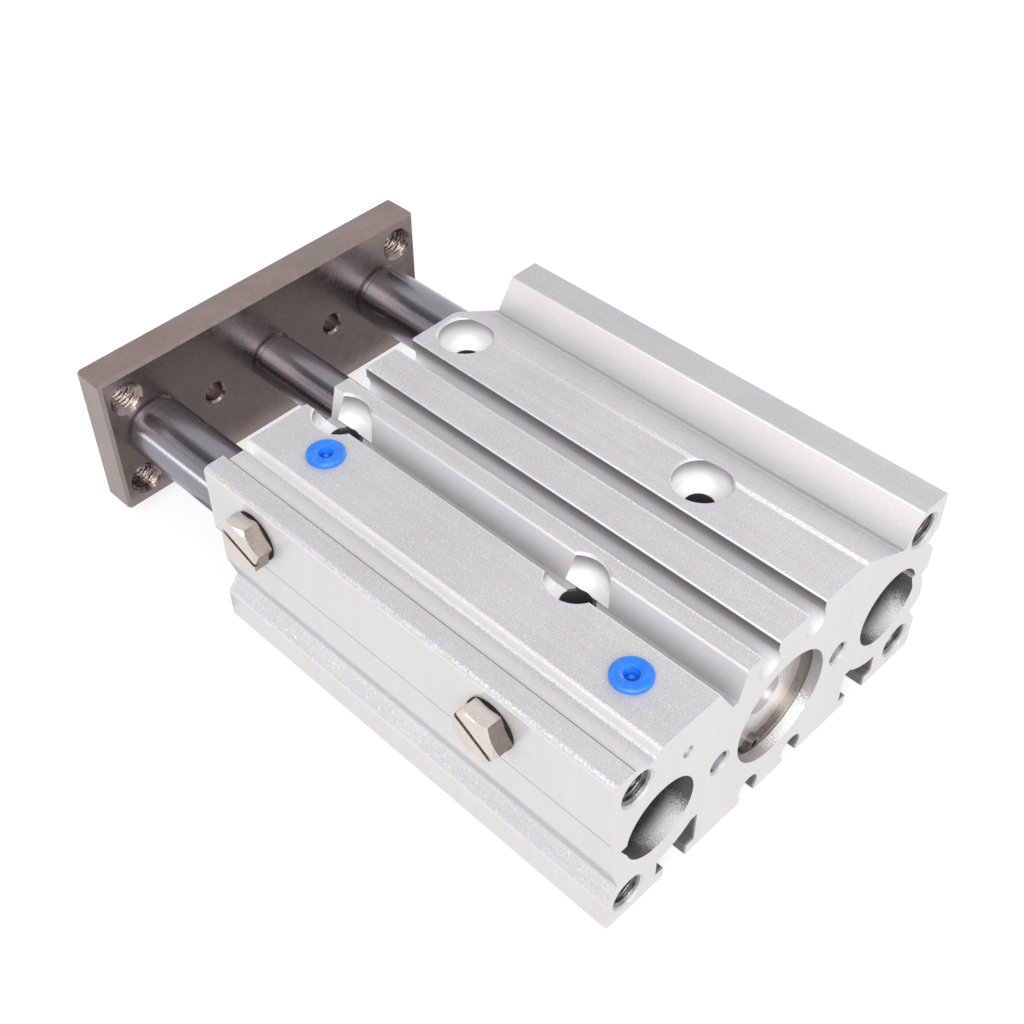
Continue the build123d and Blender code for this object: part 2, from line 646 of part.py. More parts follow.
def piston_rod():
    """Rod with a thinner tail that carries the piston."""
    tail_end = PISTON_REAR_Y + EDGE_BREAK
    rod = turned([
        (0, tail_end),
        (ROD_TAIL_RADIUS - EDGE_BREAK, tail_end),
        (ROD_TAIL_RADIUS, tail_end + EDGE_BREAK),
        (ROD_TAIL_RADIUS, PISTON_FRONT_Y),
        (PISTON_ROD_RADIUS, PISTON_FRONT_Y),
        (PISTON_ROD_RADIUS, PLATE_Y - ROD_NECK_LENGTH),
        (PISTON_ROD_RADIUS - ROD_NECK_DEPTH, PLATE_Y - ROD_NECK_LENGTH / 2),
        (PISTON_ROD_RADIUS - ROD_NECK_DEPTH, PLATE_Y),
        (0, PLATE_Y),
    ])
    return rod - screw_bore(0)


def guide_rod(side):
    """Ground steel rod with a rounded-off rear end and a small neck at the plate."""
    radius = GUIDE_ROD_RADIUS
    lead = 2 * EDGE_BREAK
    rod = turned([
        (0, GUIDE_ROD_REAR_Y),
        (radius - lead, GUIDE_ROD_REAR_Y),
        (radius, GUIDE_ROD_REAR_Y + lead),
        (radius, PLATE_Y - ROD_NECK_LENGTH),
        (radius - ROD_NECK_DEPTH, PLATE_Y - ROD_NECK_LENGTH / 2),
        (radius - ROD_NECK_DEPTH, PLATE_Y),
        (0, PLATE_Y),
    ], side * GUIDE_X)
    return rod - screw_bore(side * GUIDE_X)


def plate():
    """Flat end plate with bevelled edges, screw recesses, threads and dowel holes."""
    middle_y = (PLATE_Y + PLATE_FRONT_Y) / 2
    slab = Box(PLATE_WIDTH, PLATE_THICKNESS, PLATE_HEIGHT)
    slab = Pos(0, middle_y, AXIS_Z) * chamfer(slab.edges(), PLATE_BEVEL)
    front = Rot(-90, 0, 0)
    rear = Rot(90, 0, 0)
    for x in (-GUIDE_X, 0, GUIDE_X):
        slab -= along_y(SCREW_RADIUS + SCREW_HOLE_GAP, PLATE_Y, PLATE_FRONT_Y, x)
        slab -= along_y(SCREW_HEAD_RADIUS + SCREW_HEAD_GAP, SCREW_SEAT_Y, PLATE_FRONT_Y, x)
    for x in (-PLATE_THREAD_X, PLATE_THREAD_X):
        for z in (AXIS_Z - PLATE_THREAD_RISE, AXIS_Z + PLATE_THREAD_RISE):
            slab -= along_y(M5_RADIUS, PLATE_Y, PLATE_FRONT_Y, x, z)
            slab -= entry_cone(M5_RADIUS, M5_ENTRY, Pos(x, PLATE_FRONT_Y, z) * front)
            slab -= entry_cone(M5_RADIUS, M5_ENTRY, Pos(x, PLATE_Y, z) * rear)
    for x in (-PIN_PITCH / 2, PIN_PITCH / 2):
        slab -= along_y(PLATE_PIN_RADIUS, PLATE_Y, PLATE_FRONT_Y, x)
        slab -= entry_cone(PLATE_PIN_RADIUS, PLATE_PIN_ENTRY, Pos(x, PLATE_FRONT_Y, AXIS_Z) * front)
        slab -= entry_cone(PLATE_PIN_RADIUS, PLATE_PIN_ENTRY, Pos(x, PLATE_Y, AXIS_Z) * rear)
    return slab


def plate_screw(x):
    """Low-headed socket screw that pulls a rod against the plate."""
    head_top_y = SCREW_SEAT_Y + SCREW_HEAD_HEIGHT
    screw = turned([
        (0, SCREW_END_Y),
        (SCREW_RADIUS, SCREW_END_Y),
        (SCREW_RADIUS, SCREW_SEAT_Y),
        (SCREW_HEAD_RADIUS, SCREW_SEAT_Y),
        (SCREW_HEAD_RADIUS, head_top_y - EDGE_BREAK),
        (SCREW_HEAD_RADIUS - EDGE_BREAK, head_top_y),
        (0, head_top_y),
    ], x)
    socket = RegularPolygon(SOCKET_ACROSS_FLATS / 2, 6, major_radius=False)
    mouth = Plane(origin=(x, head_top_y, AXIS_Z), z_dir=(0, -1, 0))
    return screw - extrude(mouth * socket, SOCKET_DEPTH)


def port_plug(y, turn):
    """Slotted hexagon plug; the slot runs from flat to flat."""
    seat_x = -BODY_HALF_WIDTH - PLUG_GASKET_THICKNESS
    end_x = seat_x - PLUG_HEIGHT
    outward = Plane(origin=(seat_x, y, SIDE_PORT_Z), x_dir=(0, 1, 0), z_dir=(-1, 0, 0))
    hexagon = RegularPolygon(PLUG_ACROSS_FLATS / 2, 6, major_radius=False, rotation=30)
    head = extrude(outward * Rot(0, 0, -turn) * hexagon, PLUG_HEIGHT)
    face_radius = PLUG_ACROSS_FLATS / 2 - PLUG_FACE_INSET
    bevel = Cone(face_radius + PLUG_HEIGHT / PLUG_BEVEL_SLOPE, face_radius, PLUG_HEIGHT)
    head = head & (outward * Pos(0, 0, PLUG_HEIGHT / 2) * bevel)
    slot = Box(2 * PLUG_ACROSS_FLATS, PLUG_SLOT_WIDTH, PLUG_SLOT_DEPTH)
    head -= outward * Pos(0, 0, PLUG_HEIGHT - PLUG_SLOT_DEPTH / 2) * Rot(0, 0, -turn) * slot
    thread_end_x = -BODY_HALF_WIDTH + PLUG_THREAD_LENGTH
    thread = along_x(M5_RADIUS, seat_x, thread_end_x, y, SIDE_PORT_Z)
    return head + thread


def plug_gasket(y):
    start_x = -BODY_HALF_WIDTH - PLUG_GASKET_THICKNESS
    ring = along_x(PLUG_GASKET_RADIUS, start_x, -BODY_HALF_WIDTH, y, SIDE_PORT_Z)
    return ring - along_x(M5_RADIUS, start_x, -BODY_HALF_WIDTH, y, SIDE_PORT_Z)


def port_cap(y):
    """Push-in dust cap: a thin dished flange with a funnel, and a hollow stem in the port."""
    stem = M5_RADIUS - CAP_STEM_GAP
    low = -CAP_STEM_LENGTH
    floor = CAP_THICKNESS - CAP_FUNNEL_DEPTH
    lower_hollow = floor - CAP_WEB
    profile = Polyline(
        (0, lower_hollow),
        (CAP_STEM_HOLLOW_RADIUS, lower_hollow),
        (CAP_STEM_HOLLOW_RADIUS, low),
        (stem - CAP_EDGE, low),
        (stem, low + CAP_EDGE),
        (stem, 0),
        (CAP_RADIUS, 0),
        (CAP_RADIUS, CAP_THICKNESS - CAP_EDGE),
        (CAP_RADIUS - CAP_EDGE, CAP_THICKNESS),
        (CAP_DISH_RADIUS, CAP_THICKNESS),
        (CAP_FUNNEL_RADIUS, CAP_THICKNESS - CAP_DISH_DEPTH),
        (CAP_FUNNEL_FLOOR_RADIUS, floor),
        (CAP_NUB_RADIUS, floor),
        (CAP_NUB_RADIUS, floor + CAP_NUB_HEIGHT),
        (0, floor + CAP_NUB_HEIGHT),
        close=True,
    )
    cap = revolve(make_face(Plane.XZ * profile), Axis.Z)
    return Pos(-PORT_FROM_AXIS, y, BODY_HEIGHT) * cap


def build_parts():
    head_groove_y = HEAD_Y + ENTRY_DEPTH + ORING_LAND
    rod_groove_y = ROD_Y - ENTRY_DEPTH - ORING_LAND - ORING_SECTION
    bumper_hole = PISTON_ROD_RADIUS + BUMPER_ROD_GAP
    return {
        "body": body(),
        "head_cover": head_cover(),
        "head_cover_gasket": cover_gasket(head_groove_y),
        "head_snap_ring": snap_ring(HEAD_Y + SNAP_RING_INSET, SNAP_RING_TURN),
        "head_bumper": bumper(COVER_END_Y, COVER_RECESS_RADIUS),
        "rod_collar": rod_collar(),
        "rod_collar_gasket": cover_gasket(rod_groove_y),
        "rod_snap_ring": snap_ring(ROD_Y - COVER_INSET, SNAP_RING_TURN + 180),
        "rod_seal": rod_seal(),
        "rod_bumper": bumper(COLLAR_END_Y - BUMPER_THICKNESS, bumper_hole),
        "guide_bush_left": guide_bush(-1),
        "guide_bush_right": guide_bush(1),
        "passage_ball": passage_ball(),
        "port_plug_rod_end": port_plug(ROD_PORT_Y, ROD_PLUG_TURN),
        "port_plug_head_end": port_plug(HEAD_SIDE_PORT_Y, HEAD_PLUG_TURN),
        "plug_gasket_rod_end": plug_gasket(ROD_PORT_Y),
        "plug_gasket_head_end": plug_gasket(HEAD_SIDE_PORT_Y),
        "port_cap_rod_end": port_cap(ROD_PORT_Y),
        "port_cap_head_end": port_cap(HEAD_PORT_Y),
        "plate": plate(),
        "piston_rod": piston_rod(),
        "piston": piston(),
        "piston_seal": piston_seal(),
        "piston_magnet": piston_magnet(),
        "guide_rod_left": guide_rod(-1),
        "guide_rod_right": guide_rod(1),
        "guide_rod_screws": Compound([plate_screw(-GUIDE_X), plate_screw(GUIDE_X)]),
        "piston_rod_screw": plate_screw(0),
    }


os.makedirs("parts", exist_ok=True)
for name, solid in build_parts().items():
    export_step(solid, f"parts/{name}.step")
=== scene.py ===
import json
import math

import bpy
from mathutils import Matrix, Vector


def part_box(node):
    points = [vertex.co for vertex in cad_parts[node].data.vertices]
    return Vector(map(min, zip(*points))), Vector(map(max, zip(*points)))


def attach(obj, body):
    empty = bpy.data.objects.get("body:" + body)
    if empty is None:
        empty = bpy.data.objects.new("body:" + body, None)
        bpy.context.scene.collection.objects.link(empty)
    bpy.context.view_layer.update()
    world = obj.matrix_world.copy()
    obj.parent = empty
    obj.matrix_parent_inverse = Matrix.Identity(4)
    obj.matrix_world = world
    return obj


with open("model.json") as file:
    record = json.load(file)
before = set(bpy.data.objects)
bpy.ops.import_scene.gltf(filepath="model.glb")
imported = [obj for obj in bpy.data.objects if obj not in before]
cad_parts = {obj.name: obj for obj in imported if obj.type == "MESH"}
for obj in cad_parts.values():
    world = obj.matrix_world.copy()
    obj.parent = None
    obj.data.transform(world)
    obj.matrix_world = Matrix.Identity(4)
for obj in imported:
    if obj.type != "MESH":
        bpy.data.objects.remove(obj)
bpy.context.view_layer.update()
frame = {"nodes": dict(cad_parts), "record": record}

# The looks of a guided pneumatic cylinder, built round its CAD solids. Metres, +Y is the
# way the plate moves out, +Z is up, and the origin is the centre of the body's bottom face.

MM = 0.001

# Places read from the solids
BODY_LOW, BODY_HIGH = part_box("body")
PLATE_LOW, PLATE_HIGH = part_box("plate")
GUIDE_LOW, GUIDE_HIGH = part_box("guide_rod_right")
HEAD_Y = BODY_LOW.y
ROD_Y = BODY_HIGH.y
TOP_Z = BODY_HIGH.z
AXIS_Z = TOP_Z / 2
GUIDE_X = (GUIDE_LOW.x + GUIDE_HIGH.x) / 2

# Holes, as in the CAD model
MOUNT_X = 12.0 * MM
MOUNT_MIDDLE_Y = 9.5 * MM
MOUNT_HALF_Y = 22.0 * MM
COUNTERBORE_RADIUS = 4.1 * MM
COUNTERBORE_DEPTH = 4.5 * MM
THROUGH_RADIUS = 2.6 * MM
DOWEL_X = 12.0 * MM
DOWEL_RADIUS = 1.5 * MM
VENT_REACH = 7.2 * MM
ENTRY_REACH = 9.2 * MM
HEAD_THREAD_X = 27.9 * MM
HEAD_THREAD_Z = 10.9 * MM
HEAD_THREAD_DEPTH = 12.0 * MM
BASE_THREAD_DEPTH = 10.0 * MM
PLATE_THREAD_X = 27.0 * MM
PLATE_THREAD_Z = 8.0 * MM

# M5 coarse thread, its crest and flank in shares of half the pitch
THREAD_MAJOR = 2.5 * MM
THREAD_MINOR = 2.1 * MM
THREAD_PITCH = 0.8 * MM
THREAD_CREST_SHARE = 0.18
THREAD_FLANK_SHARE = 0.7
THREAD_ENTRY = 0.3 * MM
THREAD_SKIN = 0.03 * MM
THREAD_STEPS_ROUND = 32
THREAD_STEPS_PER_TURN = 6

# Painted highlights on the edges of the extrusion that catch the light, as x, the y where
# their lines are dim and full, and how strong and how whole each kind of line is
CRISP_EDGES = (6.12 * MM, -2.88 * MM, -8.95 * MM, -14.05 * MM, 26.7 * MM)
CRISP_HALF_WIDTH = 0.075 * MM
CRISP_STRENGTH = 0.75
BRIGHT_EDGES = (2.65 * MM, -6.35 * MM, 14.1 * MM, -24.2 * MM, -25.1 * MM, -31.55 * MM)
BRIGHT_HALF_WIDTH = 0.22 * MM
BRIGHT_STRENGTH = 0.62
SHOULDER_LINE_X = 14.4 * MM
SHOULDER_HALF_WIDTH = 0.50 * MM
SHOULDER_STRENGTH = 0.85
SHOULDER_CRUMBLE = -0.5
SHOULDER_START_Y = 14.0 * MM
SHOULDER_FULL_Y = -24.0 * MM
VALLEY_LINE_HALF_WIDTH = 0.12 * MM
VALLEY_LINE_STRENGTH = 0.80
VALLEY_LINE_CRUMBLE = -0.8
EDGE_DIM = 0.25
EDGE_DIM_Y = 45.0 * MM
EDGE_FULL_Y = -20.0 * MM
EDGE_DEPTH = 0.5 * MM

# Forms of the extrusion: x across it, depth below its top, z above its base
VALLEY_LINE_X = 22.4 * MM
VALLEY_DARK_X = 23.3 * MM
VALLEY_LIGHT_X = 25.9 * MM
VALLEY_TOP_DEPTH = 0.15 * MM
VALLEY_DEPTH = 4.6 * MM
RIB_EDGE_X = 26.8 * MM
RIB_CHAMFER = 0.2 * MM
GROOVE_X = 4.5 * MM
GROOVE_HALF_WIDTH = 2.1 * MM
GROOVE_MOUTH_DEPTH = 0.28 * MM
GROOVE_LIGHT_DEPTH = 4.3 * MM
GROOVE_DEPTH = 5.1 * MM
VEE_LEFT_X = -14.0 * MM
VEE_RIGHT_X = -8.95 * MM
VEE_DEPTH = 4.9 * MM
SHADE_DEPTH = 0.3 * MM
BAND_LOW_X = -25.2 * MM
BAND_HIGH_X = -24.1 * MM
STEP_X = -28.5 * MM
STEP_HALF_WIDTH = 0.13 * MM
STEP_DEPTH = 1.3 * MM
PORT_WALL_Z = 18.85 * MM
PORT_LINE_HALF_WIDTH = 0.14 * MM
SIDE_WALL_REACH = 1.0 * MM
TSLOT_X = 19.0 * MM
TSLOT_HALF_WIDTH = 3.8 * MM
UNDERSIDE_HEIGHT = 7.7 * MM
UNDERSIDE_START = -0.1 * MM
UNDERSIDE_FULL = 0.5 * MM

# The counterbores' painted shade on the wall and painted highlight on the rim, and the painted light in
# the mouths of the guide bores
RIM_DEPTH = 0.36 * MM
RIM_SHADE_DEPTH = 0.35 * MM
RIM_LIGHT_DEPTH = 3.0 * MM
MOUTH_LIGHT_START = 3.6 * MM
MOUTH_LIGHT_FULL = 0.8 * MM

# How far a mask reaches past the form that it marks, and keeps off the face beside it,
# and how squarely a face has to look along an axis to count as a wall or an end
REACH = 0.1 * MM
WALL_REACH = 0.03 * MM
FACE_GAP = 0.05 * MM
END_GAP = 0.02 * MM
WALL_FACING = 0.9
END_FACING = 0.99

# The side of a bore that gets painted light, as weights of its normal's x and z
LIT_WALL_X = -0.43
LIT_WALL_Z = 0.90
GLITTER_WEIGHT = 0.14

# Tones of the body, in linear red, green and blue
BLAST_DARK = (0.500, 0.490, 0.508)
BLAST_LIGHT = (0.640, 0.630, 0.650)
DULL_FLECK = (0.40, 0.39, 0.41)
# Bright flecks: shinier grains with a painted glint on them
FLECK_GLINT = (0.96, 0.96, 0.98)
# Painted shade just inside the grooves' mouths, fading to painted light deeper down
GROOVE_SHADED_MOUTH = (0.17, 0.168, 0.165)
GROOVE_LIT_FOOT = (0.93, 0.92, 0.93)
# Painted light high on the vee's walls, fading to painted shade towards its foot
VEE_LIT_TOP = (0.76, 0.75, 0.77)
VEE_SHADED_FOOT = (0.56, 0.555, 0.565)
# Painted light on the slope up from the ports' channel
BAND = (0.90, 0.88, 0.90)
# Painted shade at the valley wall's foot, rising to painted light at its crest
VALLEY_SHADED_FOOT = (0.46, 0.453, 0.465)
VALLEY_LIT_CREST = (0.78, 0.745, 0.77)
# Painted shade on the rib's top
RIB_TOP_SHADE = (0.38, 0.375, 0.39)
LIT_EDGE = (0.97, 0.96, 0.97)
# Painted light on the channel floor beside the step
CHANNEL_LIGHT = (0.92, 0.91, 0.93)
# Painted shadow line at the channel's step
STEP_SHADOW = (0.08, 0.08, 0.08)
# Painted shade inside the slots and grooves of the underside
SLOT_SHADE = (0.09, 0.088, 0.085)
MILLED_DARK = (0.67, 0.665, 0.655)
MILLED_LIGHT = (0.74, 0.735, 0.725)
# Painted shade high on the counterbores' walls, painted light at their foot, and a painted highlight on
# their rims
COUNTERBORE_SHADED_TOP = (0.32, 0.32, 0.315)
COUNTERBORE_LIT_FOOT = (0.95, 0.95, 0.95)
COUNTERBORE_RIM_HIGHLIGHT = (0.96, 0.96, 0.96)
# Painted shadow line under the step of the port wall
PORT_SHADOW_LINE = (0.22, 0.215, 0.21)
# Painted shade in the guide bores, painted light in their mouths, and a painted lit patch low on the wall
BORE_DEEP_SHADE = (0.050, 0.050, 0.044)
BORE_PALE_SHADE = (0.095, 0.095, 0.085)
BORE_MOUTH_LIGHT = (0.34, 0.34, 0.33)
BORE_LIT_PATCH = (0.97, 0.97, 0.96)
# Piston bore entry: painted shade on its sides, painted light on its upward faces, and a painted
# highlight on its lit side
ENTRY_SHADED_SIDE = (0.40, 0.40, 0.40)
ENTRY_LIT_FOOT = (0.50, 0.48, 0.48)
ENTRY_HIGHLIGHT = (0.97, 0.97, 0.97)
# Painted shade in the small holes
HOLE_SHADE = (0.05, 0.048, 0.045)

# Gloss of the body's faces
BLAST_SMOOTHEST = 0.50
BLAST_ROUGHEST = 0.66
MILLED_ROUGHNESS = 0.40
FLECK_ROUGHNESS = 0.25
COUNTERBORE_ROUGHNESS = 0.42
BORE_ROUGHNESS = 0.48
BODY_METALLIC = 0.35
COUNTERBORE_METALLIC = 0.40

# The bands of a noise's values that are spread out into a full pattern
SHARP_BAND = (0.36, 0.64)
TONE_BAND = (0.3, 0.7)
GLOSS_BAND = (0.25, 0.75)

# Noise along x, y and z: shares of a metal's own scale, and whole scales on the body
LENGTHWISE = (1.0, 0.02, 1.0)
TURNED = (1.0, 1.0, 1.0)
DRAWN = (900.0, 14.0, 900.0)
CUTTER = (500.0, 500.0, 60.0)

METALS = {
    "turned_aluminium": dict(dark=(0.64, 0.62, 0.615), light=(0.70, 0.68, 0.675), rough=0.34,
                             scale=1500.0, metallic=0.7, bump=0.05, drift=0.1),
    "rod_chrome": dict(dark=(0.252, 0.248, 0.276), light=(0.286, 0.281, 0.312), rough=0.22,
                       grain=LENGTHWISE, scale=3000.0, bump=0.005, ground=0.85, drift=0.05),
    "spring_steel": dict(dark=(0.19, 0.165, 0.15), light=(0.33, 0.29, 0.265), rough=0.34, scale=1600.0),
    "bush_bronze": dict(dark=(0.33, 0.24, 0.15), light=(0.46, 0.35, 0.23), rough=0.35, scale=1400.0),
    "ball_steel": dict(dark=(0.50, 0.50, 0.50), light=(0.62, 0.62, 0.62), rough=0.12, scale=900.0),
    "screw_steel": dict(dark=(0.15, 0.145, 0.145), light=(0.23, 0.225, 0.225), rough=0.33, scale=1500.0),
    "magnet_ferrite": dict(dark=(0.06, 0.06, 0.065), light=(0.11, 0.11, 0.12), rough=0.6,
                           scale=1500.0, metallic=0.2),
}
SOFTS = {
    "black_rubber": dict(dark=(0.008, 0.008, 0.008), light=(0.020, 0.019, 0.018), rough=0.55, shine=0.15),
    "soft_bumper": dict(dark=(0.05, 0.045, 0.04), light=(0.09, 0.08, 0.07), rough=0.5),
    "cap_blue": dict(dark=(0.012, 0.185, 0.80), light=(0.022, 0.250, 0.90), rough=0.42, subsurface=0.1),
}
# The body's threads are toned far darker than the aluminium round them: painted shade in the holes
THREADS = {
    "thread_plate": dict(dark=(0.16, 0.13, 0.115), light=(0.34, 0.28, 0.25), rough=0.24, scale=2500.0),
    "thread_body": dict(dark=(0.17, 0.165, 0.16), light=(0.34, 0.335, 0.33), rough=0.40, scale=2500.0),
}
# Painted dark reflection on the plug's flanks towards the head
PLUG_FLANK_REFLECTION = (0.10, 0.075, 0.062)
# Painted shade on the plate's corner chamfers, holding back a lamp's reflection
PLATE_CORNER_SHADE = (0.07, 0.056, 0.052)

# Depths of the fine bumps
SKIN_DEPTH = 0.02 * MM
BLAST_GRAIN_DEPTH = 0.03 * MM

# The studio: shades are strengths, where 1 is white
FLOOR_SIZE = 3.0
FLOOR_DROP = 0.05 * MM
FLOOR_SHADE = 0.40
FLOOR_GLOW = 0.72
WORLD_LIGHT = 0.55
GAP_MIDDLE = (0.014, 0.0485, 0.0008)
RODS_MIDDLE = (0, 0.05, 0.015)
BODY_MIDDLE = (0, 0.01, 0.015)

# The photograph's camera: place in metres, angles in degrees, optics in pixels of a
# 1024 pixel frame
CAMERA_PLACE = Vector((-0.104272, -0.093158, 0.163163))
CAMERA_AZIMUTH = -42.199
CAMERA_ELEVATION = 45.542
CAMERA_ROLL = -2.673
CAMERA_FOCAL = 1474.9
CAMERA_CENTRE = (458.44, 530.60)
FRAME_PIXELS = 1024
SENSOR_WIDTH = 36.0


def bare_material(name):
    """An empty node material, with its node tree and its output node."""
    material = bpy.data.materials.new(name)
    material.use_nodes = True
    tree = material.node_tree
    tree.nodes.clear()
    return material, tree, tree.nodes.new("ShaderNodeOutputMaterial")


class Shader:
    """A node material with one Principled shader, and short calls for the nodes behind it."""

    def __init__(self, name, **sockets):
        self.material, self.tree, output = bare_material(name)
        self.surface = self.tree.nodes.new("ShaderNodeBsdfPrincipled")
        self.tree.links.new(self.surface.outputs["BSDF"], output.inputs["Surface"])
        self.set(**sockets)

    def set(self, **sockets):
        for socket, value in sockets.items():
            self.feed(self.surface.inputs[socket.replace("_", " ")], value)

    def feed(self, socket, value):
        """Sets a socket to a number or colour, or links it to another node's output."""
        if isinstance(value, bpy.types.NodeSocket):
            self.tree.links.new(value, socket)
        else:
            socket.default_value = value

    def node(self, kind, **settings):
        made = self.tree.nodes.new(kind)
        for key, value in settings.items():
            setattr(made, key, value)
        return made

    def place(self):
        return self.node("ShaderNodeTexCoord").outputs["Object"]

    def facing(self):
        return self.node("ShaderNodeTexCoord").outputs["Normal"]

    def axes(self, vector):
        split = self.node("ShaderNodeSeparateXYZ")
        self.feed(split.inputs[0], vector)
        return split.outputs

    def math(self, operation, first, second=0.0):
        made = self.node("ShaderNodeMath", operation=operation)
        self.feed(made.inputs[0], first)
        self.feed(made.inputs[1], second)
        return made.outputs[0]

    def joined(self, operation, values):
        result = values[0]
        for value in values[1:]:
            result = self.math(operation, result, value)
        return result

    def times(self, *values):
        """The product: a mask that is 1 only where all the masks are."""
        return self.joined("MULTIPLY", values)

    def either(self, *values):
        """The largest: a mask that is 1 where any of the masks is."""
        return self.joined("MAXIMUM", values)

    def plus(self, *values):
        return self.joined("ADD", values)

    def above(self, value, limit):
        """Mask of where value is over the limit."""
        return self.math("GREATER_THAN", value, limit)

    def below(self, value, limit):
        """Mask of where value is under the limit."""
        return self.math("LESS_THAN", value, limit)

    def between(self, value, low, high):
        return self.times(self.above(value, low), self.below(value, high))

    def minus(self, value, amount):
        return self.math("SUBTRACT", value, amount)

    def size(self, value):
        return self.math("ABSOLUTE", value)

    def off(self, value, middle):
        """How far value is from middle, to either side."""
        return self.size(self.minus(value, middle))

    def disc(self, across, along, radius):
        """Mask of the points within radius of the axis at (0, 0)."""
        squared = self.plus(self.times(across, across), self.times(along, along))
        return self.below(squared, radius * radius)

    def spread(self, value, low, high, to_low=0.0, to_high=1.0):
        """Maps low..high to to_low..to_high, smoothly and without overshoot."""
        made = self.node("ShaderNodeMapRange", interpolation_type="SMOOTHSTEP")
        ends = {"Value": value, "From Min": low, "From Max": high, "To Min": to_low, "To Max": to_high}
        for socket, end in ends.items():
            self.feed(made.inputs[socket], end)
        return made.outputs["Result"]

    def line(self, value, middle, half_width):
        """Mask of a line where value lies within half_width of middle, soft at its edges."""
        return self.spread(self.off(value, middle), half_width * 1.3, half_width * 0.6)

    def lines(self, value, middles, half_width):
        return self.either(*[self.line(value, middle, half_width) for middle in middles])

    def mix(self, share, first, second):
        """Colour from first to second. A colour is three numbers or a node's output."""
        made = self.node("ShaderNodeMix", data_type="RGBA")
        self.feed(made.inputs["Factor"], share)
        for socket, colour in ((made.inputs[6], first), (made.inputs[7], second)):
            self.feed(socket, (*colour, 1) if isinstance(colour, tuple) else colour)
        return made.outputs[2]

    def paint(self, under, tone, mask, strength=1.0):
        """The colour under it with a tone laid over it, where the mask says."""
        return self.mix(self.times(mask, strength), under, tone)

    def blend(self, share, first, second):
        made = self.node("ShaderNodeMix", data_type="FLOAT")
        self.feed(made.inputs["Factor"], share)
        self.feed(made.inputs[2], first)
        self.feed(made.inputs[3], second)
        return made.outputs[0]

    def noise(self, scale, detail=3.0, roughness=0.55, vector=None):
        made = self.node("ShaderNodeTexNoise")
        self.feed(made.inputs["Vector"], vector or self.place())
        made.inputs["Scale"].default_value = scale
        made.inputs["Detail"].default_value = detail
        made.inputs["Roughness"].default_value = roughness
        return made.outputs["Fac"]

    def stretched(self, scale):
        made = self.node("ShaderNodeMapping")
        self.feed(made.inputs["Vector"], self.place())
        made.inputs["Scale"].default_value = scale
        return made.outputs[0]

    def flecks(self, scale, size, share):
        """Mask of small round spots, in that share of the cells of a Voronoi pattern."""
        made = self.node("ShaderNodeTexVoronoi")
        self.feed(made.inputs["Vector"], self.place())
        made.inputs["Scale"].default_value = scale
        chosen = self.axes(made.outputs["Color"])[0]
        near = self.spread(made.outputs["Distance"], size, size * 0.4)
        return self.times(near, self.above(chosen, 1.0 - share))

    def bump(self, height, depth, strength):
        made = self.node("ShaderNodeBump")
        made.inputs["Strength"].default_value = strength
        made.inputs["Distance"].default_value = depth
        self.feed(made.inputs["Height"], height)
        return made.outputs["Normal"]


